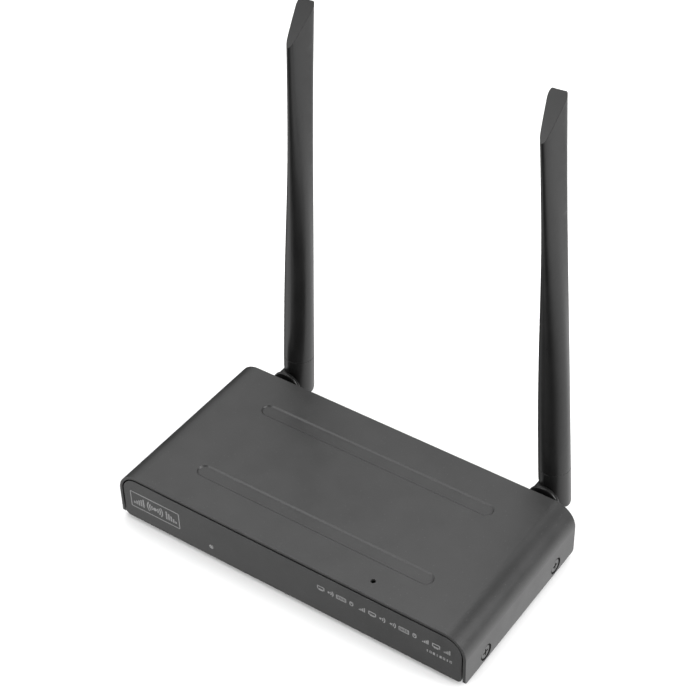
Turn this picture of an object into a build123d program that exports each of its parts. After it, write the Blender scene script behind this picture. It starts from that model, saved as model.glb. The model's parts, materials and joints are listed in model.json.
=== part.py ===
from build123d import *
import math
import os

# Wireless video receiver: a flat folded-steel case with two swivelling, folding antennas on its rear.
# Millimetres, +X to the right as seen from the front, +Y to the rear, +Z up.
# The row's origin is on the surface the feet stand on, under the middle of the whole object.

os.makedirs("parts", exist_ok=True)

# ------------------------------------------------------------------ driving dimensions: case
case_width = 160.0
case_depth = 79.2
case_height = 23.6          # underside of the base to the top of the cover
foot_height = 1.2
foot_radius = 5.0
foot_inset = 14.0           # foot centre to the case's sides
foot_inset_y = 12.0         # foot centre to the case's front and rear
sheet = 1.2                 # steel thickness of chassis, rear panel and cover
cover_bend = 9.5            # outer radius of the cover's two long bends
cover_lift = 1.4            # the cover's side walls end this far above the base's underside
plate_recess = 0.1          # the end plates stand this far inside the cover's front and rear edges
plate_side_gap = 0.7        # shadow line between an end plate and the cover's sides
plate_top_gap = 1.2         # shadow line between an end plate and the cover's top
plate_corner = 6.6          # top corners of the end plates
plate_clip = 2.2            # cut-off lower corners of the end plates
fold_radius = 1.6           # outer radius of the chassis folds

groove_length = 108.8       # the two pressed grooves in the cover's top, end to end
groove_width = 6.5
groove_depth = 0.6
groove_offset = 21.0        # groove centre line to the case's centre line
groove_slope = 45.0         # wall angle of the pressing, in degrees

# ------------------------------------------------------------------ driving dimensions: fasteners
side_screw_y = 25.4
side_screw_z = 6.6
screw_head_radius = 2.8
screw_head_height = 0.55
screw_well_radius = 3.5     # round wells in the cover that the screw heads sit in
screw_well_depth = 0.8
shank_radius = 1.45
thread_hole_radius = 1.5
fit_clearance = 0.05
cross_width = 0.7           # cross recess in every screw head
cross_length = 3.2
panel_screw_x = 72.5
panel_screw_z = 17.0

# ------------------------------------------------------------------ driving dimensions: board and sockets
board_half_width = 72.5
board_front = -37.6
board_rear = 36.8
board_thickness = 1.6
standoff_height = 2.2
standoff_radius = 2.6
standoff_x = 66.0
standoff_y = 31.0
socket_face = 0.4           # the sockets' shells stand this far out of the rear panel
hdmi_x = 16.0
usb_x = (-14.0, -34.0)
power_x = 41.0

# ------------------------------------------------------------------ driving dimensions: lamp and button
lamp_x = -35.2
lamp_z = 7.5
lamp_radius = 1.0
pinhole_x = 36.0
pinhole_y = -32.9
pinhole_radius = 1.0
plunger_radius = 1.7
plunger_gap = 1.0           # plunger top to the cover's underside

# ------------------------------------------------------------------ driving dimensions: antennas
jack_x = 61.9
jack_z = 13.75
hinge_reach = 16.3          # rear panel to the hinge pin
hinge_radius = 6.4          # both halves of the half-lap hinge
hinge_gap = 0.25            # from the lap plane to each half
knuckle_cut = 5.0           # the knuckle's flat underside over the swivel
lap_radius = 4.7            # the swivel's drum under the knuckle
seam_height = 11.2          # pin to the seam between knuckle and blade
antenna_length = 174.6      # pin to tip
tip_slope = 49.0            # slanted tip face, degrees from level
blade_wall = 1.5
blade_narrowing = 2.2       # half-width that the blade loses between its straight part and its tip
blade_waist = 1.4           # half-depth that the blade loses at its waist
blade_front_share = 0.3     # front edge of the tip's wedge section, as a share of its rear edge
blade_crispness = 5.0       # how sharp the corners of the wedge section are
left_lean = 1.45             # degrees that each antenna leans inwards as it stands
right_lean = 4.0
left_tilt = 1.5            # degrees that each antenna is folded back as it stands
right_tilt = 0.0
pin_radius = 1.5

# ------------------------------------------------------------------ derived levels
base_z = foot_height
floor_z = base_z + sheet
top_z = base_z + case_height
cover_under_z = top_z - sheet
plate_top_z = cover_under_z - plate_top_gap
half_width = case_width / 2
half_depth = case_depth / 2
plate_half_width = half_width - sheet - plate_side_gap
flange_face_x = half_width - sheet - 2 * fit_clearance
front_face_y = -half_depth + plate_recess
rear_face_y = half_depth - plate_recess
board_z = floor_z + standoff_height
board_top = board_z + board_thickness
pivot_y = half_depth + hinge_reach


# ------------------------------------------------------------------ helpers
def block(x0, x1, y0, y1, z0, z1):
    """A box between two corners."""
    centre = Pos((x0 + x1) / 2, (y0 + y1) / 2, (z0 + z1) / 2)
    return centre * Box(x1 - x0, y1 - y0, z1 - z0)


def rod(start, axis, radius, length):
    """A cylinder that begins at a point and runs along an axis."""
    ends = (Align.CENTER, Align.CENTER, Align.MIN)
    return Plane(origin=start, z_dir=axis) * Cylinder(radius, length, align=ends)


def cone(start, axis, first_radius, last_radius, length):
    """A truncated cone that begins at a point and runs along an axis."""
    ends = (Align.CENTER, Align.CENTER, Align.MIN)
    return Plane(origin=start, z_dir=axis) * Cone(first_radius, last_radius, length, align=ends)


def hex_prism(start, axis, across_flats, length):
    """A six-sided bar that begins at a point and runs along an axis."""
    outline = RegularPolygon(across_flats / 2, 6, major_radius=False)
    return extrude(Plane(origin=start, z_dir=axis) * outline, amount=length)


def ring(start, axis, outer_radius, bore_radius, length):
    """A plain ring that begins at a point and runs along an axis."""
    return rod(start, axis, outer_radius, length) - rod(start, axis, bore_radius, length)


def cross_recess(start, axis, depth):
    """The cross slot cut into a screw head, from its face downwards."""
    face = Plane(origin=start, z_dir=axis)
    bars = Rectangle(cross_length, cross_width) + Rectangle(cross_width, cross_length)
    return extrude(face * bars, amount=depth)


def edges_at(shape, axis, **place):
    """Straight edges along an axis whose centre has the given coordinates."""
    found = []
    for edge in shape.edges().filter_by(axis):
        centre = edge.center()
        if all(abs(getattr(centre, name) - value) < 0.02 for name, value in place.items()):
            found.append(edge)
    return found


def save(name, shape):
    """Move a piece from the case's centre to the row's origin and write it."""
    export_step(Pos(0, -origin_y, 0) * shape, f"parts/{name}.step")


def save_group(name, shapes):
    """Write several separate solids as one node."""
    save(name, Compound([solid for shape in shapes for solid in shape.solids()]))


# ------------------------------------------------------------------ case
def end_plate_outline():
    """Upright outline shared by the front plate and the rear panel, in X and Z."""
    outline = Pos(0, (base_z + plate_top_z) / 2) * Rectangle(2 * plate_half_width, plate_top_z - base_z)
    upper = [v for v in outline.vertices() if v.Y > plate_top_z - sheet]
    outline = fillet(upper, plate_corner)
    lower = [v for v in outline.vertices() if v.Y < base_z + sheet]
    return chamfer(lower, plate_clip)


def end_plate(outer_y, inward):
    """An end plate with its outer face at outer_y; inward is +1 at the front and -1 at the rear."""
    face = Plane(origin=(0, outer_y, 0), x_dir=(1, 0, 0), z_dir=(0, -1, 0))
    return extrude(face * end_plate_outline(), amount=-inward * sheet)


def make_chassis():
    """One folded sheet: front plate, base, side flanges and the two tabs that hold the rear panel."""
    flange_inner_x = flange_face_x - sheet
    flange_front = -half_depth + 4.0
    flange_rear = rear_face_y - sheet
    flange_top = 10.5
    tab_outer_x = plate_half_width - fold_radius - sheet
    tab_width = 7.0
    tab_top = 19.5
    plate_base_half = plate_half_width - plate_clip
    base_length = flange_rear - front_face_y
    plate_height = plate_top_z - base_z
    side_view = Plane(origin=(-plate_half_width, front_face_y, base_z), x_dir=(0, 1, 0), z_dir=(1, 0, 0))
    corner = (Align.MIN, Align.MIN)
    outer_profile = Rectangle(base_length, plate_height, align=corner)
    inner_profile = Pos(sheet, sheet) * Rectangle(base_length, plate_height, align=corner)
    outer_profile = fillet(outer_profile.vertices().sort_by_distance((0, 0, 0))[0], fold_radius)
    inner_profile = fillet(inner_profile.vertices().sort_by_distance((0, 0, 0))[0], fold_radius - sheet)
    tray = extrude(side_view * (outer_profile - inner_profile), amount=2 * plate_half_width)
    face = Plane(origin=(0, front_face_y, 0), x_dir=(1, 0, 0), z_dir=(0, -1, 0))
    kept = extrude(face * end_plate_outline(), amount=-fold_radius)
    kept += block(-plate_base_half, plate_base_half, front_face_y, flange_rear, base_z, floor_z)
    tray = tray & kept
    for side in (-1, 1):
        outer = sorted((side * flange_face_x, side * (plate_base_half - 1.0)))
        wing = block(outer[0], outer[1], flange_front, flange_rear, base_z, floor_z)
        wall = sorted((side * flange_inner_x, side * flange_face_x))
        wing += block(wall[0], wall[1], flange_front, flange_rear, base_z, flange_top)
        wing = fillet(edges_at(wing, Axis.Y, X=side * flange_face_x, Z=base_z), fold_radius)
        wing = fillet(edges_at(wing, Axis.Y, X=side * flange_inner_x, Z=floor_z), fold_radius - sheet)
        link = sorted((side * flange_face_x, side * tab_outer_x))
        wing += block(link[0], link[1], flange_rear - sheet, flange_rear, floor_z + 0.6, flange_top)
        tab = sorted((side * tab_outer_x, side * (tab_outer_x - tab_width)))
        wing += block(tab[0], tab[1], flange_rear - sheet, flange_rear, floor_z + 0.6, tab_top)
        tray += wing
        for screw_y in (-side_screw_y, side_screw_y):
            tray -= side_screw_space(side, screw_y)
        tray -= rod((side * panel_screw_x, half_depth, panel_screw_z), (0, -1, 0), thread_hole_radius, 6.0)
    tray -= rod((lamp_x, -half_depth, lamp_z), (0, 1, 0), lamp_radius + fit_clearance, 3 * sheet)
    return tray


def side_screw_space(side, screw_y):
    """Well and thread hole that a side screw needs, from the cover's surface inwards."""
    start = (side * half_width, screw_y, side_screw_z)
    inwards = (-side, 0, 0)
    well = rod(start, inwards, screw_well_radius, screw_well_depth)
    return well + rod(start, inwards, thread_hole_radius, 4 * sheet)


def make_rear_panel():
    """The rear plate with the cut-outs for the sockets, the antenna jacks and its two screws."""
    panel = end_plate(rear_face_y, -1)
    depth = 3 * sheet
    margin = 0.35
    for jack in (-jack_x, jack_x):
        panel -= rod((jack, half_depth, jack_z), (0, -1, 0), jack_thread_radius + fit_clearance, depth)
    for screw in (-panel_screw_x, panel_screw_x):
        panel -= rod((screw, half_depth, panel_screw_z), (0, -1, 0), shank_radius + 0.15, depth)
    panel -= rod((power_x, half_depth, power_z), (0, -1, 0), power_hole_radius + 0.9, depth)
    window = Plane(origin=(0, half_depth, 0), x_dir=(1, 0, 0), z_dir=(0, -1, 0))
    panel -= extrude(window * offset(hdmi_outline(hdmi_outer), margin), amount=depth, both=True)
    for x in usb_x:
        panel -= extrude(window * offset(usb_outline(x, usb_outer), margin), amount=depth, both=True)
    return panel


def make_cover():
    """The U-shaped cover: a bent sheet with two pressed grooves, a pinhole and four countersinks."""
    wall_foot = base_z + cover_lift
    outside = block(-half_width, half_width, -half_depth, half_depth, wall_foot, top_z)
    outside = fillet([*edges_at(outside, Axis.Y, X=half_width, Z=top_z),
                      *edges_at(outside, Axis.Y, X=-half_width, Z=top_z)], cover_bend)
    inner_x = half_width - sheet
    inside = block(-inner_x, inner_x, -half_depth, half_depth, wall_foot - sheet, cover_under_z)
    inside = fillet([*edges_at(inside, Axis.Y, X=inner_x, Z=cover_under_z),
                     *edges_at(inside, Axis.Y, X=-inner_x, Z=cover_under_z)], cover_bend - sheet)
    cover = outside - inside
    wall_corner = 1.2
    ends = [e for e in cover.edges().filter_by(Axis.X)
            if abs(e.center().Z - wall_foot) < 0.02 and abs(abs(e.center().Y) - half_depth) < 0.02]
    cover = fillet(ends, wall_corner)
    groove = SlotOverall(groove_length, groove_width)
    for y in (-groove_offset, groove_offset):
        bulge = Plane(origin=(0, y, cover_under_z)) * groove
        cover += extrude(bulge, amount=-groove_depth, taper=groove_slope)
        recess = Plane(origin=(0, y, top_z)) * groove
        cover -= extrude(recess, amount=-groove_depth, taper=groove_slope)
    cover -= rod((pinhole_x, pinhole_y, top_z + sheet), (0, 0, -1), pinhole_radius, 3 * sheet)
    for side in (-1, 1):
        for screw_y in (-side_screw_y, side_screw_y):
            cover -= side_screw_space(side, screw_y)
    return cover


def make_cover_screws():
    """Four low pan-head screws with cross recesses, two on each side."""
    screws = []
    shank_length = 4.6
    for side in (-1, 1):
        for screw_y in (-side_screw_y, side_screw_y):
            seat = (side * (half_width - screw_well_depth), screw_y, side_screw_z)
            screws.append(pan_head_screw(seat, (-side, 0, 0), screw_head_radius, screw_head_height,
                                         shank_radius, shank_length, 0.9))
    return screws


def pan_head_screw(seat, axis, head_radius, head_height, radius, length, recess_depth):
    """A pan-head screw: seat is the point under its head, axis points along its shank."""
    away = tuple(-a for a in axis)
    head = rod(seat, away, head_radius, head_height)
    face = tuple(s + a * head_height for s, a in zip(seat, away))
    rim = [e for e in head.edges().filter_by(GeomType.CIRCLE) if (e.arc_center - Vector(*face)).length < 0.01]
    head = fillet(rim, head_height * 0.45)
    screw = head + rod(seat, axis, radius, length)
    return screw - cross_recess(face, axis, recess_depth)


def make_panel_screws():
    """Two pan-head screws that hold the rear panel to the chassis tabs."""
    screws = []
    for x in (-panel_screw_x, panel_screw_x):
        seat = (x, rear_face_y, panel_screw_z)
        screws.append(pan_head_screw(seat, (0, -1, 0), 2.8, 1.8, shank_radius, 4.5, 1.25))
    return screws


def make_feet():
    """Four stick-on feet with a rounded lower edge."""
    feet = []
    for x in (-half_width + foot_inset, half_width - foot_inset):
        for y in (-half_depth + foot_inset_y, half_depth - foot_inset_y):
            foot = rod((x, y, 0), (0, 0, 1), foot_radius, foot_height)
            feet.append(fillet(foot.edges().group_by(Axis.Z)[0], foot_height / 3))
    return feet


# ------------------------------------------------------------------ lamp and button
def make_light_pipe():
    """The clear rod that carries the lamp's light through the front plate, with its shoulder."""
    shoulder_y = front_face_y + sheet
    pipe = rod((lamp_x, front_face_y, lamp_z), (0, 1, 0), lamp_radius, 3.4)
    return pipe + rod((lamp_x, shoulder_y, lamp_z), (0, 1, 0), 1.4 * lamp_radius, 0.8)


def make_lamp():
    """The surface-mounted lamp behind the light pipe."""
    lamp_front = front_face_y + 3.6
    return block(lamp_x - 0.8, lamp_x + 0.8, lamp_front, lamp_front + 1.0, board_top, board_top + 1.6)


switch_height = 3.5
switch_half = 3.0
plunger_foot_z = board_top + 1.4


def make_switch():
    """The switch's square housing with the bore that its plunger slides in."""
    housing = block(pinhole_x - switch_half, pinhole_x + switch_half, pinhole_y - switch_half,
                    pinhole_y + switch_half, board_top, board_top + switch_height)
    corners = housing.edges().filter_by(Axis.Z)
    housing = fillet(corners, 0.4)
    bore_floor = plunger_foot_z - 0.6
    return housing - rod((pinhole_x, pinhole_y, bore_floor), (0, 0, 1), plunger_radius + fit_clearance,
                         switch_height)


def make_plunger():
    """The long stem that a pin pushed through the pinhole presses."""
    length = cover_under_z - plunger_gap - plunger_foot_z
    stem = rod((pinhole_x, pinhole_y, plunger_foot_z), (0, 0, 1), plunger_radius, length)
    return chamfer(stem.edges().group_by(Axis.Z)[-1], 0.3)


# ------------------------------------------------------------------ board
board_screw_radius = 1.2


def standoff_places():
    """The four corners where the board is held."""
    return [(x, y) for x in (-standoff_x, standoff_x) for y in (-standoff_y, standoff_y)]


def make_board():
    """The main board, with cut corners and four holes."""
    outline = block(-board_half_width, board_half_width, board_front, board_rear, board_z, board_top)
    board = fillet(outline.edges().filter_by(Axis.Z), 2.0)
    for x, y in standoff_places():
        board -= rod((x, y, board_z), (0, 0, 1), board_screw_radius + 0.2, board_thickness)
    return board


def make_standoffs():
    """Four threaded posts pressed into the base."""
    return [ring((x, y, floor_z), (0, 0, 1), standoff_radius, board_screw_radius + fit_clearance,
                 standoff_height) for x, y in standoff_places()]


def make_board_screws():
    """Four small pan-head screws that hold the board down."""
    return [pan_head_screw((x, y, board_top), (0, 0, -1), 2.3, 1.5, board_screw_radius, 3.6, 1.05)
            for x, y in standoff_places()]


def make_insulation():
    """The film between the base and the underside of the board."""
    lift = 0.05
    film = 0.25
    inset = 2.0
    film_sheet = block(-board_half_width + inset, board_half_width - inset, board_front + inset,
                       board_rear - inset, floor_z + lift, floor_z + lift + film)
    for x, y in standoff_places():
        film_sheet -= rod((x, y, floor_z), (0, 0, 1), standoff_radius + 0.6, 1.0)
    return film_sheet


hdmi_outer = (15.0, 5.6)
hdmi_wall = 0.4
hdmi_depth = 11.0
hdmi_z = board_top + hdmi_outer[1] / 2 + 0.1
usb_outer = (13.3, 5.9)
usb_wall = 0.35
usb_depth = 14.0
usb_z = board_top + usb_outer[1] / 2 + 0.1
socket_y = half_depth + socket_face


def hdmi_outline(size):
    """The video socket's outline in X and Z: a box whose lower corners are cut back."""
    width, height = size
    outline = Pos(hdmi_x, hdmi_z) * Rectangle(width, height)
    lower = [v for v in outline.vertices() if v.Y < hdmi_z]
    return chamfer(lower, 1.9)


def usb_outline(x, size):
    """A USB-A-type socket's rounded outline in X and Z."""
    return Pos(x, usb_z) * RectangleRounded(size[0], size[1], 0.5)


def socket_shell(outer, inner, depth, wall):
    """A sheet-metal socket shell that is open to the rear and closed at its inner end."""
    mouth = Plane(origin=(0, socket_y, 0), x_dir=(1, 0, 0), z_dir=(0, -1, 0))
    return extrude(mouth * outer, amount=depth) - extrude(mouth * inner, amount=depth - wall)


def make_hdmi_shell():
    """Shell of the video output socket."""
    inner = (hdmi_outer[0] - 2 * hdmi_wall, hdmi_outer[1] - 2 * hdmi_wall)
    return socket_shell(hdmi_outline(hdmi_outer), hdmi_outline(inner), hdmi_depth, hdmi_wall)


def make_hdmi_tongue():
    """Contact tongue in the middle of the video socket."""
    back = socket_y - hdmi_depth + hdmi_wall
    return block(hdmi_x - 5.6, hdmi_x + 5.6, back, socket_y - 1.2, hdmi_z - 0.3, hdmi_z + 0.8)


def make_usb_shells():
    """Shells of the two USB-A-type sockets for keyboard and mouse."""
    inner = (usb_outer[0] - 2 * usb_wall, usb_outer[1] - 2 * usb_wall)
    return [socket_shell(usb_outline(x, usb_outer), usb_outline(x, inner), usb_depth, usb_wall) for x in usb_x]


def make_usb_tongues():
    """Contact tongues of the two USB-A-type sockets."""
    back = socket_y - usb_depth + usb_wall
    return [block(x - 5.5, x + 5.5, back, socket_y - 1.0, usb_z + 0.15, usb_z + 2.0) for x in usb_x]


power_z = board_top + 6.5
power_hole_radius = 3.15
power_hole_depth = 10.0


def make_power_jack():
    """The round power inlet's plastic housing."""
    face = rear_face_y - sheet - fit_clearance
    housing = block(power_x - 4.5, power_x + 4.5, face - 14.0, face, board_top, board_top + 11.0)
    housing = fillet(housing.edges().filter_by(Axis.Y), 0.5)
    return housing - rod((power_x, face, power_z), (0, -1, 0), power_hole_radius, power_hole_depth)


def make_power_pin():
    """The centre pin of the power inlet."""
    floor = rear_face_y - sheet - fit_clearance - power_hole_depth
    pin = rod((power_x, floor, power_z), (0, 1, 0), 1.0, power_hole_depth - 0.8)
    return chamfer(pin.edges().group_by(Axis.Y)[-1], 0.3)


chip_x = 14.0
chip_y = -2.0
chip_height = 1.6
pad_height = 0.8


def make_processor():
    """The video processor."""
    chip = block(chip_x - 11.5, chip_x + 11.5, chip_y - 11.5, chip_y + 11.5, board_top,
                 board_top + chip_height)
    return chamfer(chip.edges().group_by(Axis.Z)[-1], 0.2)


def make_memory():
    """Two memory chips in front of the processor."""
    return [block(x - 4.5, x + 4.5, -31.0, -24.0, board_top, board_top + 1.1) for x in (6.0, 20.0)]


def make_thermal_pad():
    """The soft pad between the processor and its heat sink."""
    under = board_top + chip_height
    return block(chip_x - 10.0, chip_x + 10.0, chip_y - 10.0, chip_y + 10.0, under, under + pad_height)


def make_heat_sink():
    """A finned aluminium heat sink."""
    half = 17.5
    under = board_top + chip_height + pad_height
    plate = 2.0
    fin_height = 7.0
    fins = 9
    fin = 1.1
    sink = block(chip_x - half, chip_x + half, chip_y - half, chip_y + half, under, under + plate)
    pitch = (2 * half - fin) / (fins - 1)
    for n in range(fins):
        left = chip_x - half + n * pitch
        sink += block(left, left + fin, chip_y - half, chip_y + half, under + plate / 2,
                      under + plate + fin_height)
    return sink


radio_x = -35.0
radio_plug_y = 12.5
radio_plug_x = (-46.0, -24.0)
radio_top = board_top + 0.8


def make_radio_board():
    """The radio module's own board, soldered flat on the main board."""
    return block(radio_x - 20.0, radio_x + 20.0, -15.0, 15.0, board_top, radio_top)


def make_radio_shield():
    """The radio's pressed tin can."""
    can = block(radio_x - 17.0, radio_x + 17.0, -13.0, 9.0, radio_top, radio_top + 2.4)
    can = fillet(can.edges().filter_by(Axis.Z), 0.8)
    wall = 0.25
    return can - block(radio_x - 17.0 + wall, radio_x + 17.0 - wall, -13.0 + wall, 9.0 - wall, radio_top,
                       radio_top + 2.4 - wall)


def make_capacitors():
    """Three upright capacitors near the power inlet."""
    cans = []
    for x, y in ((56.0, 6.0), (56.0, -3.0), (47.0, 2.0)):
        can = rod((x, y, board_top), (0, 0, 1), 3.2, 8.0)
        cans.append(fillet(can.edges().group_by(Axis.Z)[-1], 0.5))
    return cans


def make_inductor():
    """The power converter's inductor."""
    coil = block(43.5, 50.5, -14.0, -7.0, board_top, board_top + 4.0)
    return chamfer(coil.edges().filter_by(Axis.Z), 0.8)


# ------------------------------------------------------------------ antenna jacks and leads
jack_thread_radius = 3.15
jack_end = 5.2              # rear panel to the end of the jack's thread
ferrule_end_y = half_depth - 13.5
lead_radius = 0.7
lead_plug_height = 1.3


def make_jack(x):
    """A bulkhead jack: outside thread, inside hexagon, crimp ferrule and the hole for its contact."""
    panel_inside = rear_face_y - sheet
    jack = rod((x, panel_inside, jack_z), (0, 1, 0), jack_thread_radius, sheet + jack_end)
    jack += hex_prism((x, panel_inside, jack_z), (0, -1, 0), 9.0, 2.2)
    jack += rod((x, panel_inside, jack_z), (0, -1, 0), 2.8, 7.4)
    jack += rod((x, ferrule_end_y, jack_z), (0, 1, 0), 1.9, 6.0)
    return jack - rod((x, rear_face_y + jack_end, jack_z), (0, -1, 0), 1.0, 4.0)


def make_jack_washers():
    """Spring washers between the rear panel and the panel nuts."""
    return [ring((x, rear_face_y, jack_z), (0, 1, 0), 4.9, jack_thread_radius + fit_clearance, 0.6)
            for x in (-jack_x, jack_x)]


def make_jack_nuts():
    """Panel nuts of the two jacks."""
    nuts = []
    for x in (-jack_x, jack_x):
        start = (x, rear_face_y + 0.6, jack_z)
        nuts.append(hex_prism(start, (0, 1, 0), 8.0, 1.9)
                    - rod(start, (0, 1, 0), jack_thread_radius + fit_clearance, 1.9))
    return nuts


def lead_route(side):
    """Centre line of the coaxial lead inside the case, from a jack's ferrule to its plug on the radio."""
    plug_z = radio_top + lead_plug_height / 2 + 0.4
    if side < 0:
        plug_x = radio_plug_x[0]
        return [(-jack_x, ferrule_end_y, jack_z), (-jack_x, 20.5, jack_z - 0.2),
                (-57.5, 15.0, jack_z - 2.6), (-52.5, radio_plug_y, plug_z + 0.2),
                (plug_x - 1.4, radio_plug_y, plug_z)]
    plug_x = radio_plug_x[1]
    return [(jack_x, ferrule_end_y, jack_z), (jack_x, 20.5, jack_z - 0.2),
            (50.0, 17.6, jack_z - 3.6), (30.0, 20.8, plug_z + 0.5), (8.0, 19.6, plug_z + 0.1),
            (-9.0, 20.4, plug_z + 0.4), (-17.0, 14.2, plug_z + 0.2), (plug_x + 1.4, radio_plug_y, plug_z)]


def make_lead(side):
    """The lead itself: straight runs joined by arcs that are as large as the runs allow."""
    points = [Vector(*p) for p in lead_route(side)]
    radii = []
    for before, corner, after in zip(points, points[1:], points[2:]):
        first = corner - before
        second = after - corner
        half_turn = math.radians(first.get_angle(second)) / 2
        radii.append(0.45 * min(first.length, second.length) / math.tan(half_turn))
    path = FilletPolyline(*points, radius=radii)
    start = Plane(origin=points[0], z_dir=points[1] - points[0])
    lead = sweep(start * Circle(lead_radius), path=path)
    ratio = lead.volume / (math.pi * lead_radius ** 2 * path.length)
    print(f"lead {side:+d}: length {path.length:.1f}, smallest bend {min(radii):.1f}, volume ratio {ratio:.3f}")
    return lead


def make_lead_plugs():
    """The two snap-on plugs on the radio board."""
    plugs = []
    for x in radio_plug_x:
        plug = rod((x, radio_plug_y, radio_top), (0, 0, 1), 1.3, lead_plug_height)
        plugs.append(plug)
    return plugs


# ------------------------------------------------------------------ antennas, about their hinge pin
def blade_section(height):
    """Half-width, half-depth and share of wedge shape of the blade at a height above the pin."""
    rise = (height - seam_height) / (antenna_length - seam_height)
    ease = min(max((rise - 0.2) / 0.7, 0.0), 1.0)
    half_wide = hinge_radius - blade_narrowing * (3 * ease ** 2 - 2 * ease ** 3)
    half_deep = hinge_radius - blade_waist * math.sin(math.pi * rise) * (1 - 0.45 * rise)
    clipped = min(max(rise, 0.0), 1.0)
    wedge = 3 * clipped ** 2 - 2 * clipped ** 3
    return half_wide, half_deep, wedge


def wedge_reach(turn):
    """Distance from the centre to a rounded wedge of half-width 1 and half-depth 1; turn 0 is the front."""
    forward = math.cos(turn)
    middle = (1 + blade_front_share) / 2
    flare = (1 - blade_front_share) / 2
    to_end = abs(forward) ** blade_crispness
    to_side = max((abs(math.sin(turn)) + flare * forward) / middle, 0.0) ** blade_crispness
    return (to_end + to_side) ** (-1 / blade_crispness)


def section_face(height, inset=0.0):
    """A level cross-section of the blade: round at the foot, a flat-backed wedge at the tip."""
    half_wide, half_deep, wedge = blade_section(height)
    outline = []
    count = 30
    for n in range(count):
        turn = 2 * math.pi * n / count
        reach = 1 - wedge + wedge * wedge_reach(turn)
        x = (half_wide - inset) * reach * math.sin(turn)
        y = -(half_deep - inset) * reach * math.cos(turn)
        outline.append((x, y))
    return Plane(origin=(0, 0, height)) * make_face(Spline(*outline, periodic=True))


def half_space(plane, size):
    """A large block on the side of a plane that its normal points to."""
    ends = (Align.CENTER, Align.CENTER, Align.MIN)
    return plane * Box(size, size, size, align=ends)


def make_blade():
    """The hollow antenna cover with its slanted tip."""
    gap = 0.15
    foot = seam_height + gap
    stations = [foot, 45.0, 80.0, 115.0, 150.0, antenna_length + 4.0]
    blade = loft([section_face(h) for h in stations])
    half_deep = blade_section(antenna_length)[1]
    slope = math.radians(tip_slope)
    tip = Plane(origin=(0, half_deep, antenna_length), x_dir=(1, 0, 0),
                z_dir=(0, -math.sin(slope), math.cos(slope)))
    blade -= half_space(tip, 60.0)
    cavity_top = antenna_length - 3.2 * half_deep
    cavity = [foot - gap, 45.0, 80.0, 115.0, cavity_top]
    return blade - loft([section_face(h, blade_wall) for h in cavity])


pin_end = 4.5               # the pin ends inside the knuckle, in a blind bore
spigot_radius = 4.5
spigot_top = seam_height + 5.0


def make_knuckle():
    """The antenna's half of the hinge: a cap under the blade and one ear beside the pin."""
    body = rod((0, 0, -hinge_radius), (0, 0, 1), hinge_radius, hinge_radius + seam_height)
    under_pin = rod((0, 0, 0), (1, 0, 0), hinge_radius, 2 * hinge_radius)
    above_pin = block(hinge_gap, 2 * hinge_radius, -2 * hinge_radius, 2 * hinge_radius, 0, seam_height)
    ear_space = (under_pin & half_space(Plane(origin=(hinge_gap, 0, 0), z_dir=(1, 0, 0)), 40.0)) + above_pin
    cap_space = half_space(Plane(origin=(0, 0, knuckle_cut)), 40.0)
    knuckle = (body & cap_space) + (body & ear_space)
    knuckle += rod((0, 0, knuckle_cut), (0, 0, 1), spigot_radius, spigot_top - knuckle_cut)
    return knuckle - rod((-1, 0, 0), (1, 0, 0), pin_radius + fit_clearance, 1 + pin_end + 0.2)


flange_radius = 6.9
flange_front = 6.4          # rear panel to the front of the swivel's flange
flange_thickness = 2.0
nut_front = 2.7
nut_rear = 6.2
nut_lip = 0.8
swivel_spigot_radius = 2.4


def make_swivel():
    """The swivel's half of the hinge, with its flange and the spigot held by the coupling nut."""
    flange_y = flange_front - hinge_reach
    flange = rod((0, flange_y, 0), (0, 1, 0), flange_radius, flange_thickness)
    flange = fillet(flange.edges(), 0.7)
    body = rod((0, flange_y + flange_thickness / 2, 0), (0, 1, 0), hinge_radius, hinge_reach + hinge_radius)
    lap = half_space(Plane(origin=(-hinge_gap, 0, 0), z_dir=(-1, 0, 0)), 40.0)
    drum = rod((0, 0, 0), (-1, 0, 0), lap_radius, 2 * hinge_radius)
    before_pin = block(-2 * hinge_radius, 0, flange_y, 0, -hinge_radius, lap_radius)
    swivel = flange + (body & lap & (drum + before_pin))
    spigot_start = jack_end + 0.3 - hinge_reach
    swivel += rod((0, spigot_start, 0), (0, 1, 0), swivel_spigot_radius, 2.0)
    return swivel - rod((1, 0, 0), (-1, 0, 0), pin_radius, 2 * hinge_radius)


def make_pin():
    """The hinge pin: pressed into the swivel, free to turn in the antenna's ear."""
    pin_start = -5.9
    pin = rod((pin_start, 0, 0), (1, 0, 0), pin_radius, pin_end - pin_start)
    return chamfer(pin.edges(), 0.2)


def make_coupling_nut():
    """The knurled nut that holds the antenna on its jack."""
    nut = rod((0, nut_front - hinge_reach, 0), (0, 1, 0), 4.7, nut_rear - nut_front)
    nut = chamfer(nut.edges(), 0.3)
    grooves = 24
    for n in range(grooves):
        turn = 2 * math.pi * n / grooves
        centre = (4.75 * math.cos(turn), nut_front - hinge_reach, 4.75 * math.sin(turn))
        nut -= rod(centre, (0, 1, 0), 0.22, nut_rear - nut_front)
    thread = nut_rear - nut_front - nut_lip
    nut -= rod((0, nut_front - hinge_reach, 0), (0, 1, 0), jack_thread_radius + fit_clearance, thread)
    return nut - rod((0, nut_front - hinge_reach, 0), (0, 1, 0), swivel_spigot_radius + 2 * fit_clearance,
                     nut_rear - nut_front)


def make_radiator():
    """The brass aerial conductor, standing on the knuckle inside the blade."""
    return rod((0, 0, spigot_top), (0, 0, 1), 1.0, 130.0)


# ------------------------------------------------------------------ build
still_pieces = {"coupling_nut": make_coupling_nut()}
swivel_pieces = {"swivel_base": make_swivel(), "hinge_pin": make_pin()}
antenna_pieces = {"knuckle": make_knuckle(), "blade": make_blade(), "radiator": make_radiator()}

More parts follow.
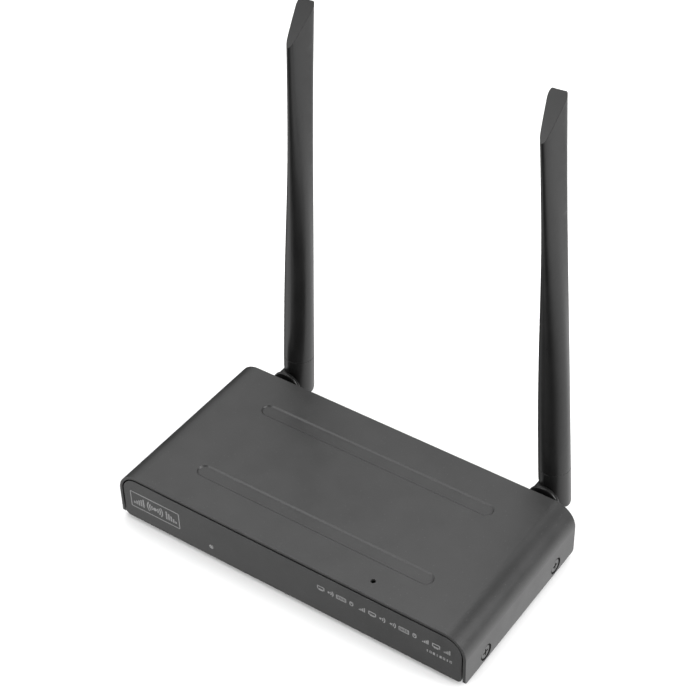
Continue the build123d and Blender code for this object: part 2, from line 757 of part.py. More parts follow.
antennas = {}
for name, side, lean, tilt in (("left", -1, left_lean, left_tilt), ("right", 1, -right_lean, right_tilt)):
    hinge = Pos(side * jack_x, pivot_y, jack_z)
    leaned = hinge * Rot(0, lean, 0)
    folded = leaned * Rot(-tilt, 0, 0)
    placed = {piece: hinge * shape for piece, shape in still_pieces.items()}
    placed.update({piece: leaned * shape for piece, shape in swivel_pieces.items()})
    placed.update({piece: folded * shape for piece, shape in antenna_pieces.items()})
    antennas[name] = placed

rearmost_y = max(pieces["blade"].bounding_box().max.Y for pieces in antennas.values())
origin_y = (rearmost_y - half_depth) / 2

save("chassis", make_chassis())
save("rear_panel", make_rear_panel())
save("top_cover", make_cover())
save_group("cover_screws", make_cover_screws())
save_group("rear_panel_screws", make_panel_screws())
save_group("rubber_feet", make_feet())
save("light_pipe", make_light_pipe())
save("status_lamp", make_lamp())
save("pairing_switch", make_switch())
save("pairing_plunger", make_plunger())
save("main_board", make_board())
save_group("board_standoffs", make_standoffs())
save_group("board_screws", make_board_screws())
save("insulation_sheet", make_insulation())
save("video_socket_shell", make_hdmi_shell())
save("video_socket_tongue", make_hdmi_tongue())
save_group("usb_socket_shells", make_usb_shells())
save_group("usb_socket_tongues", make_usb_tongues())
save("power_jack", make_power_jack())
save("power_jack_pin", make_power_pin())
save("processor", make_processor())
save_group("memory_chips", make_memory())
save("thermal_pad", make_thermal_pad())
save("heat_sink", make_heat_sink())
save("radio_board", make_radio_board())
save("radio_shield", make_radio_shield())
save_group("capacitors", make_capacitors())
save("inductor", make_inductor())
save_group("lead_plugs", make_lead_plugs())
save_group("jack_washers", make_jack_washers())
save_group("jack_nuts", make_jack_nuts())

for name, pieces in antennas.items():
    side = -1 if name == "left" else 1
    save(f"{name}_jack", make_jack(side * jack_x))
    save(f"{name}_lead", make_lead(side))
    for piece, shape in pieces.items():
        save(f"{name}_{piece}", shape)

print(f"origin lies {origin_y:.3f} behind the case's centre")
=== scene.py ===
# %% [markdown]
# # A wireless receiver with two swivel antennas
# The receiver is a flat steel box with a bent cover, a front plate, sockets at the rear and
# two paddle antennas on folding hinges. Its shapes and joints come from a CAD model that is
# loaded as a fixed frame. This script adds what CAD doesn't have: the paints and plastics,
# the printed marks, the moulded feet and the metal contacts in the sockets.

import json
import math

import bmesh
import bpy
from mathutils import Matrix, Quaternion, Vector


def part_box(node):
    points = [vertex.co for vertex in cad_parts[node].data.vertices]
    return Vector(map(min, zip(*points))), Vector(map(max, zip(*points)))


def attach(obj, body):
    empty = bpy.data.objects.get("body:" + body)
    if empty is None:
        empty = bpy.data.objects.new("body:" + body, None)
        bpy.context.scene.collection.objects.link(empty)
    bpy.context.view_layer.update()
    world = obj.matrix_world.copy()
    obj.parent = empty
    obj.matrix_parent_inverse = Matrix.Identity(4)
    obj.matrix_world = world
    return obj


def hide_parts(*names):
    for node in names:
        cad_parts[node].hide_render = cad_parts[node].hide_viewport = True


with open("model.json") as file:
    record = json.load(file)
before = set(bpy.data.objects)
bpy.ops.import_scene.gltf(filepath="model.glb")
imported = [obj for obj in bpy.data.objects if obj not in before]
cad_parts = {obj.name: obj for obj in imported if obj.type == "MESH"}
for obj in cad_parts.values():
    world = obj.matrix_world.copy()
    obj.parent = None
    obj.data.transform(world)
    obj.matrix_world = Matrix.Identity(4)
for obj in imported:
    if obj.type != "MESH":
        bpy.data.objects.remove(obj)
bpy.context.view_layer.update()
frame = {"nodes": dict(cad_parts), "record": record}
mm = 0.001
scene = bpy.context.scene

# %% [markdown]
# ## The camera
# A product shot looks down on the box from its front right corner through a long lens, so
# that parallel edges stay almost parallel. The camera is placed by its compass angle, its
# height angle and its distance from the middle of the case, and then rolled a little, as a
# tripod head often is.

# %% Camera
camera_azimuth = 35.64
camera_elevation = 40.02
camera_roll = -1.638
camera_offset = Vector((287.87, -394.54, 504.89)) * mm
focal_length = 91.318

cover_low, cover_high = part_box("top_cover")
case_middle_y = (cover_low[1] + cover_high[1]) / 2
azimuth = math.radians(camera_azimuth)
elevation = math.radians(camera_elevation)
backwards = Vector((math.sin(azimuth) * math.cos(elevation),
                    -math.cos(azimuth) * math.cos(elevation), math.sin(elevation)))
camera = bpy.data.objects.new("camera", bpy.data.cameras.new("camera"))
scene.collection.objects.link(camera)
camera.location = Vector((0, case_middle_y, 0)) + camera_offset
camera.rotation_mode = "QUATERNION"
camera.rotation_quaternion = ((-backwards).to_track_quat("-Z", "Y")
                              @ Quaternion((0, 0, 1), math.radians(camera_roll)))
camera.data.lens = focal_length
camera.data.sensor_width = 36
camera.data.clip_start = 0.01
scene.camera = camera
scene.view_settings.view_transform = "Standard"
print("camera distance to the box", round(camera.location.length, 3), "m")


# %% [markdown]
# ## Helpers for shader nodes
# Every finish below is a small network of nodes. One helper adds a node and fills its
# sockets: a plain value is typed in, and the output of another node is linked.

# %% Node helpers
def add_node(tree, kind, sockets=None, **settings):
    """Adds a node, sets its settings, and fills its input sockets by name or number."""
    node = tree.nodes.new(kind)
    for setting, value in settings.items():
        setattr(node, setting, value)
    for socket, value in (sockets or {}).items():
        if isinstance(value, bpy.types.NodeSocket):
            tree.links.new(value, node.inputs[socket])
        else:
            node.inputs[socket].default_value = value
    return node


def calculate(tree, operation, first, second=0.0):
    """One Math node; returns its output."""
    node = add_node(tree, "ShaderNodeMath", {0: first, 1: second}, operation=operation)
    return node.outputs[0]


def remap(tree, value, low, high, to_low=0.0, to_high=1.0, smooth=True):
    """Stretches a value from one range to another, with soft ends where smooth is true."""
    node = add_node(tree, "ShaderNodeMapRange",
                    {"Value": value, "From Min": low, "From Max": high,
                     "To Min": to_low, "To Max": to_high},
                    interpolation_type="SMOOTHSTEP" if smooth else "LINEAR")
    return node.outputs["Result"]


def mix_colours(tree, amount, first, second):
    """Blends two colours; returns the blend."""
    node = add_node(tree, "ShaderNodeMix", data_type="RGBA")
    for number, value in ((0, amount), (6, first), (7, second)):
        if isinstance(value, bpy.types.NodeSocket):
            tree.links.new(value, node.inputs[number])
        else:
            node.inputs[number].default_value = value
    return node.outputs[2]


def grey(level, warmth=0.0):
    """A neutral colour, very slightly warm or cool."""
    return (level * (1 + warmth), level, level * (1 - warmth), 1.0)


# %% [markdown]
# ## Floor and light
# The box stands on white paper. Dark paint shows almost only what it mirrors, so the studio
# around it matters as much as the lamps. A world gradient plays the part of the white cards
# that a studio puts behind, to the left and low at the right, with a dark gap on the
# camera's side. Only mirror rays see the cards. Everything else sees an even pale room.

# %% Floor
bpy.ops.object.select_all(action="DESELECT")
bpy.ops.mesh.primitive_plane_add(size=6.0, location=(0, 0, 0))
floor = bpy.context.object
floor.name = "paper_floor"
floor.visible_glossy = False
paper = bpy.data.materials.new("paper")
paper.use_nodes = True
paper_shader = paper.node_tree.nodes["Principled BSDF"]
paper_shader.inputs["Base Color"].default_value = grey(0.9)
paper_shader.inputs["Roughness"].default_value = 0.9
floor.data.materials.append(paper)
print("floor", tuple(round(v, 2) for v in floor.dimensions), "m")

# %% World gradient
world = bpy.data.worlds.new("studio")
scene.world = world
world.use_nodes = True
sky = world.node_tree
sky.nodes.clear()
direction = add_node(sky, "ShaderNodeTexCoord").outputs["Generated"]
upwards = add_node(sky, "ShaderNodeSeparateXYZ", {0: direction}).outputs["Z"]
to_right = (math.cos(azimuth), math.sin(azimuth), 0.0)
to_back = (-math.sin(azimuth), math.cos(azimuth), 0.0)
rightwards = add_node(sky, "ShaderNodeVectorMath", {0: direction, 1: to_right},
                      operation="DOT_PRODUCT").outputs["Value"]
rearwards = add_node(sky, "ShaderNodeVectorMath", {0: direction, 1: to_back},
                     operation="DOT_PRODUCT").outputs["Value"]
back_card = calculate(sky, "MULTIPLY", remap(sky, rearwards, 0.2, 0.75),
                      remap(sky, upwards, 0.1, 0.5))
low_card = calculate(sky, "MULTIPLY", remap(sky, rightwards, -0.25, 0.75),
                     remap(sky, upwards, 0.1, -0.35))
left_card = remap(sky, rightwards, -0.4, -0.95)
cards = calculate(sky, "ADD", calculate(sky, "MULTIPLY", back_card, 0.9),
                  calculate(sky, "ADD", calculate(sky, "MULTIPLY", low_card, 1.25),
                            calculate(sky, "MULTIPLY", left_card, 1.2)))
mirrored = calculate(sky, "ADD", cards, 0.03)
even_room = 0.95
is_mirror_ray = add_node(sky, "ShaderNodeLightPath").outputs["Is Glossy Ray"]
brightness = add_node(sky, "ShaderNodeMix", {0: is_mirror_ray, 2: even_room, 3: mirrored},
                      data_type="FLOAT").outputs[0]
sky_light = add_node(sky, "ShaderNodeBackground", {"Color": (1, 1, 1, 1), "Strength": brightness})
add_node(sky, "ShaderNodeOutputWorld", {"Surface": sky_light.outputs[0]})
print("world nodes", len(sky.nodes))


# %% Lamps
def soft_box(name, place, aim, width, height, watts):
    """A rectangular lamp that faces a point."""
    lamp = bpy.data.objects.new(name, bpy.data.lights.new(name, "AREA"))
    scene.collection.objects.link(lamp)
    lamp.data.shape = "RECTANGLE"
    lamp.data.size = width
    lamp.data.size_y = height
    lamp.data.energy = watts
    lamp.location = place
    lamp.rotation_mode = "QUATERNION"
    lamp.rotation_quaternion = (Vector(place) - Vector(aim)).to_track_quat("Z", "Y")
    print(name, watts, "W,", round((Vector(place) - Vector(aim)).length, 2), "m away")
    return lamp


box_middle = (0.0, -0.013, 0.03)
soft_box("key_box", (1.15, 0.15, 0.75), box_middle, 0.9, 0.9, 16)
soft_box("front_box", (-0.55, -1.15, 0.75), box_middle, 0.9, 0.9, 7)
soft_box("top_box", (-0.25, 0.3, 1.4), box_middle, 1.0, 1.0, 8)

# %% [markdown]
# ## Shared effects
# Two effects appear in many finishes, so each is a node group. The first rounds the normals
# beside an edge and says where the edges are, because paint is thinner and shinier there.
# The second is the grain of the surface: a fine height pattern for a Bump node, a soft
# mottle, and sparse specks of dust.

# %% Edge group
edge_group = bpy.data.node_groups.new("edge_wear", "ShaderNodeTree")
edge_group.interface.new_socket("Width", in_out="INPUT", socket_type="NodeSocketFloat")
edge_group.interface.new_socket("Breakup", in_out="INPUT", socket_type="NodeSocketFloat")
edge_group.interface.new_socket("Edge", in_out="OUTPUT", socket_type="NodeSocketFloat")
edge_group.interface.new_socket("Normal", in_out="OUTPUT", socket_type="NodeSocketVector")
asked = edge_group.nodes.new("NodeGroupInput")
given = edge_group.nodes.new("NodeGroupOutput")
rounded = add_node(edge_group, "ShaderNodeBevel", {"Radius": asked.outputs["Width"]}, samples=6)
true_normal = add_node(edge_group, "ShaderNodeNewGeometry").outputs["Normal"]
agreement = add_node(edge_group, "ShaderNodeVectorMath",
                     {0: rounded.outputs[0], 1: true_normal}, operation="DOT_PRODUCT")
edge_amount = remap(edge_group, agreement.outputs["Value"], 0.995, 0.80)
object_place = add_node(edge_group, "ShaderNodeTexCoord").outputs["Object"]
worn_places = add_node(edge_group, "ShaderNodeTexNoise",
                       {"Vector": object_place, "Scale": 260.0, "Detail": 4.0})
worn_share = remap(edge_group, worn_places.outputs["Fac"], 0.35, 0.7)
kept_share = add_node(edge_group, "ShaderNodeMix",
                      {0: asked.outputs["Breakup"], 2: 1.0, 3: worn_share}, data_type="FLOAT")
edge_group.links.new(calculate(edge_group, "MULTIPLY", edge_amount, kept_share.outputs[0]),
                     given.inputs["Edge"])
edge_group.links.new(rounded.outputs[0], given.inputs["Normal"])

# %% Grain group
grain_group = bpy.data.node_groups.new("surface_grain", "ShaderNodeTree")
grain_group.interface.new_socket("Grains per metre", in_out="INPUT", socket_type="NodeSocketFloat")
for output in ("Height", "Mottle", "Speck"):
    grain_group.interface.new_socket(output, in_out="OUTPUT", socket_type="NodeSocketFloat")
asked = grain_group.nodes.new("NodeGroupInput")
given = grain_group.nodes.new("NodeGroupOutput")
object_place = add_node(grain_group, "ShaderNodeTexCoord").outputs["Object"]
fine = add_node(grain_group, "ShaderNodeTexNoise",
                {"Vector": object_place, "Scale": asked.outputs[0], "Detail": 3.0,
                 "Roughness": 0.6})
cells = add_node(grain_group, "ShaderNodeTexVoronoi",
                 {"Vector": object_place, "Scale": asked.outputs[0]}, feature="SMOOTH_F1")
height = calculate(grain_group, "ADD", fine.outputs["Fac"],
                   calculate(grain_group, "MULTIPLY", cells.outputs["Distance"], 0.5))
cloud = add_node(grain_group, "ShaderNodeTexNoise",
                 {"Vector": object_place, "Scale": 75.0, "Detail": 5.0})
mottle = calculate(grain_group, "ADD",
                   calculate(grain_group, "MULTIPLY", cloud.outputs["Fac"], 0.6),
                   calculate(grain_group, "MULTIPLY", fine.outputs["Fac"], 0.4))
dust = add_node(grain_group, "ShaderNodeTexVoronoi",
                {"Vector": object_place, "Scale": 420.0}, feature="F1")
speck = remap(grain_group, dust.outputs["Distance"], 0.13, 0.05)
grain_group.links.new(height, given.inputs["Height"])
grain_group.links.new(mottle, given.inputs["Mottle"])
grain_group.links.new(speck, given.inputs["Speck"])
print("node groups", edge_group.name, "and", grain_group.name)


# %% [markdown]
# ## Finishes
# One function mixes a finish from the two groups. Its values are what differs between a
# powder coat, a moulded plastic and a plated metal: colour, gloss, grain size, grain depth,
# and how an edge looks once handling has polished it.

# %% Make a finish
def make_finish(name, dark, light, gloss=(0.4, 0.5), metallic=0.0, grains=2500.0, depth=0.02,
                edge_colour=None, edge_width=0.25, breakup=0.5, speck_colour=None, coat=0.0):
    """A Principled material whose colour, roughness and bump vary over the surface."""
    material = bpy.data.materials.new(name)
    material.use_nodes = True
    tree = material.node_tree
    shader = tree.nodes["Principled BSDF"]
    edge = add_node(tree, "ShaderNodeGroup", node_tree=edge_group)
    edge.inputs["Width"].default_value = edge_width * mm
    edge.inputs["Breakup"].default_value = breakup
    grain = add_node(tree, "ShaderNodeGroup", node_tree=grain_group)
    grain.inputs["Grains per metre"].default_value = grains
    colour = mix_colours(tree, remap(tree, grain.outputs["Mottle"], 0.3, 0.7), dark, light)
    if speck_colour:
        colour = mix_colours(tree, grain.outputs["Speck"], colour, speck_colour)
    if edge_colour:
        colour = mix_colours(tree, edge.outputs["Edge"], colour, edge_colour)
    roughness = remap(tree, grain.outputs["Mottle"], 0.3, 0.7, gloss[0], gloss[1])
    worn = calculate(tree, "MULTIPLY", edge.outputs["Edge"], 0.35)
    roughness = calculate(tree, "MULTIPLY", roughness, calculate(tree, "SUBTRACT", 1.0, worn))
    bump = add_node(tree, "ShaderNodeBump",
                    {"Strength": 1.0, "Distance": depth * mm, "Height": grain.outputs["Height"],
                     "Normal": edge.outputs["Normal"]})
    tree.links.new(colour, shader.inputs["Base Color"])
    tree.links.new(roughness, shader.inputs["Roughness"])
    tree.links.new(bump.outputs[0], shader.inputs["Normal"])
    shader.inputs["Metallic"].default_value = metallic
    shader.inputs["Coat Weight"].default_value = coat
    return material


finishes = {
    # fine matt powder coat on the folded steel
    "case_paint": make_finish("case_paint", grey(0.024), grey(0.031), (0.33, 0.42),
                              grains=2300.0, depth=0.02, edge_colour=grey(0.07),
                              edge_width=0.3, speck_colour=grey(0.045)),
    # painted light: the front plate has the same powder coat as the case, made a little lighter in
    # colour and edge to stand in for the brighter light on the front face
    "plate_paint": make_finish("plate_paint", grey(0.027), grey(0.036), (0.33, 0.42),
                               grains=2300.0, depth=0.02, edge_colour=grey(0.09),
                               edge_width=0.3, speck_colour=grey(0.05)),
    # satin moulded plastic of the antennas
    "antenna_plastic": make_finish("antenna_plastic", grey(0.006), grey(0.009), (0.27, 0.34),
                                   grains=5200.0, depth=0.004, edge_colour=grey(0.045),
                                   edge_width=0.2, speck_colour=grey(0.009)),
    "nut_black": make_finish("nut_black", grey(0.012), grey(0.02), (0.22, 0.32), metallic=0.4,
                             grains=4000.0, depth=0.004, edge_colour=grey(0.12),
                             edge_width=0.12, breakup=0.7),
    "black_screw": make_finish("black_screw", grey(0.05), grey(0.085), (0.24, 0.34),
                               metallic=0.85, grains=4200.0, depth=0.006,
                               edge_colour=grey(0.22), edge_width=0.12, breakup=0.6),
    "foot_rubber": make_finish("foot_rubber", grey(0.012), grey(0.02), (0.75, 0.9),
                               grains=3000.0, depth=0.02, edge_width=0.2,
                               speck_colour=grey(0.06)),
    "black_plastic": make_finish("black_plastic", grey(0.011), grey(0.018), (0.4, 0.5),
                                 grains=3500.0, depth=0.01, edge_colour=grey(0.04),
                                 edge_width=0.15),
    "bright_shell": make_finish("bright_shell", grey(0.55, 0.01), grey(0.68, 0.01),
                                (0.2, 0.34), metallic=1.0, grains=3000.0, depth=0.003,
                                edge_colour=grey(0.85), edge_width=0.1),
    "brass_gold": make_finish("brass_gold", (0.62, 0.40, 0.13, 1), (0.75, 0.52, 0.2, 1),
                              (0.2, 0.32), metallic=1.0, grains=3500.0, depth=0.003,
                              edge_colour=(0.9, 0.7, 0.35, 1), edge_width=0.08),
    "aluminium": make_finish("aluminium", grey(0.5, -0.01), grey(0.6, -0.01), (0.35, 0.5),
                             metallic=1.0, grains=2500.0, depth=0.006,
                             edge_colour=grey(0.8), edge_width=0.12),
    "board_green": make_finish("board_green", (0.006, 0.05, 0.022, 1), (0.01, 0.075, 0.035, 1),
                               (0.25, 0.4), grains=1500.0, depth=0.006,
                               edge_colour=(0.25, 0.22, 0.1, 1), edge_width=0.15, coat=0.3),
    "soft_pad": make_finish("soft_pad", (0.2, 0.24, 0.3, 1), (0.26, 0.3, 0.36, 1), (0.7, 0.85),
                            grains=1800.0, depth=0.02),
    "film": make_finish("film", (0.32, 0.3, 0.22, 1), (0.4, 0.37, 0.28, 1), (0.2, 0.3),
                        grains=900.0, depth=0.01),
    "lead_jacket": make_finish("lead_jacket", grey(0.02), grey(0.03), (0.4, 0.5),
                               grains=3500.0, depth=0.005),
    "dark_ferrite": make_finish("dark_ferrite", grey(0.03), grey(0.045), (0.5, 0.65),
                                grains=2600.0, depth=0.02, edge_colour=grey(0.09)),
    "lamp_white": make_finish("lamp_white", grey(0.7), grey(0.8), (0.3, 0.4),
                              grains=3000.0, depth=0.004),
}

# %% [markdown]
# The light pipe is clear acrylic. Clear plastic is a plain shader with transmission, so it
# is made apart: a faint haze in its roughness keeps it from looking like a hole.

# %% Clear plastic
clear = bpy.data.materials.new("clear_plastic")
clear.use_nodes = True
clear_tree = clear.node_tree
clear_shader = clear_tree.nodes["Principled BSDF"]
clear_shader.inputs["Transmission Weight"].default_value = 0.35
clear_shader.inputs["IOR"].default_value = 1.49
haze = add_node(clear_tree, "ShaderNodeGroup", node_tree=grain_group)
haze.inputs["Grains per metre"].default_value = 4000.0
clear_tree.links.new(mix_colours(clear_tree, haze.outputs["Mottle"], grey(0.22), grey(0.34)),
                     clear_shader.inputs["Base Color"])
clear_tree.links.new(remap(clear_tree, haze.outputs["Mottle"], 0.3, 0.7, 0.15, 0.3),
                     clear_shader.inputs["Roughness"])
finishes["clear_plastic"] = clear
print("finishes", len(finishes))

# %% [markdown]
# ## Put the finishes on the CAD parts
# The record says which slot each part belongs to, so the finishes are handed out by slot.

# %% Assign finishes
for row in frame["record"]["subparts"]:
    node = frame["nodes"][row["node"]]
    node.data.materials.clear()
    node.data.materials.append(finishes[row["material_slot"]])

# %% [markdown]
# ## Printed marks
# The front plate carries light grey screen print. Ink is a real layer, a few hundredths of a
# millimetre thick, so each mark is a thin raised piece and not a picture. The marks are
# plain pictograms: a frame with radio waves, a screen, a keyboard, a mouse and level bars.

# %% Ink finish
finishes["ink"] = make_finish("ink", grey(0.16), grey(0.22), (0.45, 0.6), grains=3800.0,
                              depth=0.006, edge_width=0.02)
ink_thickness = 0.03 * mm


# %% Ink helpers
def start_piece():
    """Deselects everything, so that the next operators act on the new piece alone."""
    if bpy.context.object and bpy.context.object.mode != "OBJECT":
        bpy.ops.object.mode_set(mode="OBJECT")
    bpy.ops.object.select_all(action="DESELECT")


def lay_flat(name, across, up, face_y, facing):
    """Turns a piece drawn in the XY plane to stand on the front (-1) or rear (1) plate."""
    piece = bpy.context.object
    piece.name = name
    turn = math.radians(90)
    piece.rotation_euler = (turn, 0, 0) if facing < 0 else (turn, 0, math.radians(180))
    piece.location = (across * mm, face_y, up * mm)
    bpy.ops.object.transform_apply(location=True, rotation=True, scale=True)
    return piece


def raise_ink():
    """Gives the flat mesh that is being edited the thickness of the ink."""
    bpy.ops.mesh.select_all(action="SELECT")
    bpy.ops.mesh.extrude_region_move(
        TRANSFORM_OT_translate={"value": (0, 0, ink_thickness)})
    bpy.ops.mesh.select_all(action="SELECT")
    bpy.ops.mesh.normals_make_consistent(inside=False)
    bpy.ops.object.mode_set(mode="OBJECT")


def ink_block(name, across, up, width, height, face_y, facing=-1, corner=0.0, line=0.0):
    """A filled rectangle of ink, or only its outline where a line width is given."""
    start_piece()
    bpy.ops.mesh.primitive_plane_add(size=1.0, location=(0, 0, 0))
    bpy.ops.object.mode_set(mode="EDIT")
    bpy.ops.transform.resize(value=(width * mm, height * mm, 1))
    if corner:
        bpy.ops.mesh.bevel(offset=corner * mm, segments=4, affect="VERTICES")
    if line:
        bpy.ops.mesh.select_all(action="SELECT")
        bpy.ops.mesh.inset(thickness=line * mm, depth=0)
        bpy.ops.mesh.delete(type="FACE")
    raise_ink()
    return lay_flat(name, across, up, face_y, facing)


def ink_ring(name, across, up, radius, line, face_y, facing=-1, sweep=360, start=0):
    """A ring, or an arc where the sweep is under 360 degrees, spun from one short edge."""
    start_piece()
    mesh = bpy.data.meshes.new(name)
    inner = (radius - line) * mm
    mesh.from_pydata([(inner, 0, 0), (radius * mm, 0, 0)], [(0, 1)], [])
    piece = bpy.data.objects.new(name, mesh)
    scene.collection.objects.link(piece)
    bpy.context.view_layer.objects.active = piece
    piece.select_set(True)
    bpy.ops.object.mode_set(mode="EDIT")
    bpy.ops.mesh.select_all(action="SELECT")
    steps = max(6, round(sweep / 12))
    bpy.ops.mesh.spin(steps=steps, angle=math.radians(sweep), center=(0, 0, 0), axis=(0, 0, 1))
    bpy.ops.mesh.select_all(action="SELECT")
    bpy.ops.mesh.remove_doubles(threshold=0.001 * mm)
    raise_ink()
    low_end = min(v.co.to_2d().angle_signed(Vector((1, 0)), 0) for v in piece.data.vertices)
    middle = math.radians(sweep / 2) if low_end > -0.01 else -math.radians(sweep / 2)
    piece.rotation_euler = (0, 0, math.radians(start) - middle if sweep < 360 else 0)
    bpy.ops.object.transform_apply(location=False, rotation=True, scale=False)
    return lay_flat(name, across, up, face_y, facing)


def join_pieces(name, parts, body, material):
    """Joins finished parts into one piece that rides on a body."""
    start_piece()
    for part in parts:
        part.select_set(True)
    bpy.context.view_layer.objects.active = parts[0]
    bpy.ops.object.join()
    piece = bpy.context.object
    piece.name = name
    piece.data.materials.clear()
    piece.data.materials.append(material)
    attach(piece, body)
    print(name, len(piece.data.polygons), "faces")
    return piece


# %% [markdown]
# The mark at the left of the front plate is a rounded frame around a dot with waves on both
# sides and two rows of bars.

# %% Front frame mark
front_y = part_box("chassis")[0].y
frame_across, frame_up = -62.6, 12.6
frame_width, frame_height = 24.6, 8.4
marks = [ink_block("mark", frame_across, frame_up, frame_width, frame_height, front_y,
                   corner=0.5, line=0.45),
         ink_ring("mark", frame_across, frame_up, 0.9, 0.89, front_y)]
for side, heading in ((-1, 180), (1, 0)):
    for radius in (1.9, 3.0, 4.1):
        marks.append(ink_ring("mark", frame_across, frame_up, radius, 0.62, front_y,
                              sweep=76, start=heading))
    for step in range(5):
        bar_height = 1.2 + 0.75 * step
        bar_across = frame_across + side * (10.4 - 1.15 * step)
        marks.append(ink_block("mark", bar_across, frame_up - 2.1 + bar_height / 2, 0.75,
                               bar_height, front_y))
join_pieces("front_frame_mark", marks, "case", finishes["ink"])

# %% [markdown]
# A row of small pictograms runs along the right half: what the receiver passes on. A short
# row of small blocks stands below its right end.

# %% Front pictogram row
row_up = 15.35
row_height = 2.3
row_start, row_end = 14.9, 74.0


def screen_mark(across):
    """A screen on its stand."""
    return [ink_block("mark", across, row_up + 0.2, 3.4, 1.9, front_y, corner=0.25, line=0.45),
            ink_block("mark", across, row_up - 1.0, 1.9, 0.42, front_y)]


def wave_mark(across):
    """A dot and two waves that spread to the right."""
    dot_across = across - 1.0
    return ([ink_ring("mark", dot_across, row_up, 0.5, 0.49, front_y)]
            + [ink_ring("mark", dot_across, row_up, radius, 0.45, front_y, sweep=84)
               for radius in (1.35, 2.2)])


def keyboard_mark(across):
    """A keyboard: a frame around two rows of keys."""
    keys = [ink_block("mark", across + 0.72 * column, row_up + lift, 0.42, 0.42, front_y)
            for column in range(-2, 3) for lift in (0.35, -0.35)]
    return [ink_block("mark", across, row_up, 4.5, 2.2, front_y, corner=0.25, line=0.36)] + keys


def mouse_mark(across):
    """A mouse seen from above, with its wheel."""
    return [ink_block("mark", across, row_up, 1.7, row_height, front_y, corner=0.75, line=0.42),
            ink_block("mark", across, row_up + 0.35, 0.3, 0.7, front_y)]


def bars_mark(across):
    """Four level bars of rising height."""
    return [ink_block("mark", across + 0.75 * step - 1.1, row_up - 1.1 + 0.28 * (step + 1),
                      0.5, 0.56 * (step + 1), front_y) for step in range(4)]


drawers = [screen_mark, wave_mark, keyboard_mark, mouse_mark, bars_mark, screen_mark,
           wave_mark, wave_mark, keyboard_mark, mouse_mark, bars_mark, screen_mark, bars_mark]
end_margin = 2.0
pitch = (row_end - row_start - 2 * end_margin) / (len(drawers) - 1)
marks = []
for number, drawer in enumerate(drawers):
    marks += drawer(row_start + end_margin + pitch * number)
lower_start, lower_up = 63.7, 10.9
lower_pitch = 1.42
lower_height = 1.25
for step in range(8):
    block_width = 0.95 if step % 3 else 0.45
    outline = 0.28 if step % 2 else 0.0
    marks.append(ink_block("mark", lower_start + lower_pitch * step, lower_up, block_width,
                           lower_height, front_y, corner=0.15, line=outline))
join_pieces("front_pictograms", marks, "case", finishes["ink"])

# %% [markdown]
# At the rear each socket has its own small pictogram above it, so that a cable finds its
# place without words.

# %% Rear marks
rear_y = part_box("rear_panel")[1].y
row_up = 17.6


def middle_across(node):
    """The middle of a part, left to right, in millimetres."""
    low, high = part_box(node)
    return (low.x + high.x) / 2 / mm


rear_marks = []
video_across = middle_across("video_socket_shell")
rear_marks += [ink_block("mark", video_across, row_up + 0.3, 4.4, 2.4, rear_y, 1, 0.3, 0.4),
               ink_block("mark", video_across, row_up - 1.3, 2.0, 0.4, rear_y, 1)]
usb_low, usb_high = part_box("usb_socket_shells")
for share, size in ((0.2, 1.5), (0.8, 4.4)):
    usb_across = (usb_low.x + (usb_high.x - usb_low.x) * share) / mm
    rear_marks.append(ink_block("mark", usb_across, row_up, size, 2.3, rear_y, 1,
                                min(size, 2.3) * 0.2, 0.32))
power_across = middle_across("power_jack")
rear_marks += [ink_ring("mark", power_across, row_up, 1.5, 0.4, rear_y, 1, sweep=300, start=270),
               ink_block("mark", power_across, row_up + 1.1, 0.4, 1.6, rear_y, 1)]
join_pieces("rear_marks", rear_marks, "case", finishes["ink"])


# %% [markdown]
# ## Socket contacts
# Each socket holds a plastic tongue with gold contacts on it. One contact is modelled as a
# thin strip with a rounded front end, and it is copied along the tongue. The contacts lie a
# little into the plastic, as moulded ones do.

# %% Contacts
def contact_strip(width, length, thickness=0.12):
    """One contact, lying along Y, with its front end bevelled down."""
    start_piece()
    bpy.ops.mesh.primitive_cube_add(size=1.0, location=(0, 0, 0))
    bpy.ops.object.mode_set(mode="EDIT")
    bpy.ops.transform.resize(value=(width * mm, length * mm, thickness * mm))
    bpy.ops.mesh.select_all(action="DESELECT")
    strip = bpy.context.object
    bpy.ops.object.mode_set(mode="OBJECT")
    for edge in strip.data.edges:
        ends = [strip.data.vertices[v].co for v in edge.vertices]
        edge.select = all(end.y > 0 for end in ends) and ends[0].z == ends[1].z
    bpy.ops.object.mode_set(mode="EDIT")
    bpy.ops.mesh.bevel(offset=0.3 * thickness * mm, segments=2, affect="EDGES")
    bpy.ops.object.mode_set(mode="OBJECT")
    return strip


def copies_along(strip, places):
    """Copies of a piece at the given places, each with its own mesh."""
    made = []
    for place in places:
        copy = strip.copy()
        copy.data = strip.data.copy()
        copy.data.transform(Matrix.Translation(place))
        scene.collection.objects.link(copy)
        made.append(copy)
    bpy.data.objects.remove(strip)
    return made


tongue_low, tongue_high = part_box("video_socket_tongue")
video_length = 4.0
strip = contact_strip(0.28, video_length)
contact_y = tongue_high.y - (video_length / 2 + 0.5) * mm
places = []
for count, contact_z in ((10, tongue_high.z), (9, tongue_low.z)):
    for number in range(count):
        offset = number - (count - 1) / 2
        places.append(Vector((video_across * mm + offset * mm, contact_y, contact_z)))
video_contacts = copies_along(strip, places)
join_pieces("video_contacts", video_contacts, "case", finishes["brass_gold"])

tongue_low, tongue_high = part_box("usb_socket_tongues")
usb_length = 6.5
strip = contact_strip(1.0, usb_length)
contact_setback = 4.2
contact_y = tongue_high.y - contact_setback * mm
tongue_width = 11.0
places = []
for middle in (tongue_low.x + tongue_width / 2 * mm, tongue_high.x - tongue_width / 2 * mm):
    for offset in (-3.5, -1.0, 1.0, 3.5):
        places.append(Vector((middle + offset * mm, contact_y, tongue_low.z)))
usb_contacts = copies_along(strip, places)
join_pieces("usb_contacts", usb_contacts, "case", finishes["brass_gold"])

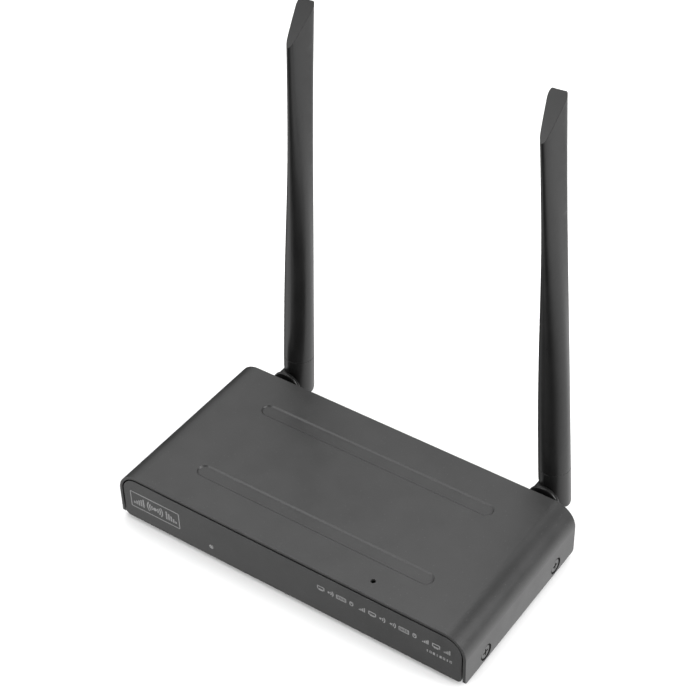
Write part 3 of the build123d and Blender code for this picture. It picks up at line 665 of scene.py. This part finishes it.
# %% [markdown]
# ## Moulded feet
# The feet are soft rubber discs with a domed rim and a shallow cup underneath, which grips
# the table. One foot is shaped from a flat disc by insets and bevels, then copied.

# %% Feet
foot_low, foot_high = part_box("rubber_feet")
foot_radius = 5.0 * mm
foot_height = foot_high.z - foot_low.z
ring_width = 1.3 * mm
cup_depth = 0.35 * mm
cup_wall = 0.35 * mm
cup_floor_width = 1.2 * mm
boss_rise = 0.15 * mm
boss_wall = 0.3 * mm
rim_round = 0.4 * mm
start_piece()
bpy.ops.mesh.primitive_cylinder_add(vertices=64, radius=foot_radius, depth=foot_height,
                                    location=(0, 0, 0))
foot = bpy.context.object
bpy.ops.object.mode_set(mode="EDIT")
bpy.ops.mesh.select_mode(type="FACE")
bpy.ops.mesh.select_all(action="DESELECT")
shape = bmesh.from_edit_mesh(foot.data)
for face in shape.faces:
    face.select = face.normal.z < -0.9
bmesh.update_edit_mesh(foot.data)
bpy.ops.mesh.inset(thickness=ring_width, depth=0)
bpy.ops.mesh.inset(thickness=cup_wall, depth=-cup_depth)
bpy.ops.mesh.inset(thickness=cup_floor_width, depth=0)
bpy.ops.mesh.inset(thickness=boss_wall, depth=boss_rise)
bpy.ops.mesh.select_mode(type="EDGE")
bpy.ops.mesh.select_all(action="DESELECT")
shape = bmesh.from_edit_mesh(foot.data)
for edge in shape.edges:
    rim = all(abs(v.co.to_2d().length - foot_radius) < 1e-6 and v.co.z < 0 for v in edge.verts)
    edge.select = rim
bmesh.update_edit_mesh(foot.data)
bpy.ops.mesh.bevel(offset=rim_round, segments=4, affect="EDGES")
bpy.ops.object.mode_set(mode="OBJECT")
bpy.ops.object.shade_smooth_by_angle(angle=math.radians(40))
foot_middle = (foot_low.z + foot_high.z) / 2
places = [Vector((x, y, foot_middle))
          for x in (foot_low.x + foot_radius, foot_high.x - foot_radius)
          for y in (foot_low.y + foot_radius, foot_high.y - foot_radius)]
feet = join_pieces("moulded_feet", copies_along(foot, places), "case",
                   finishes["foot_rubber"])
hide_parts("rubber_feet")
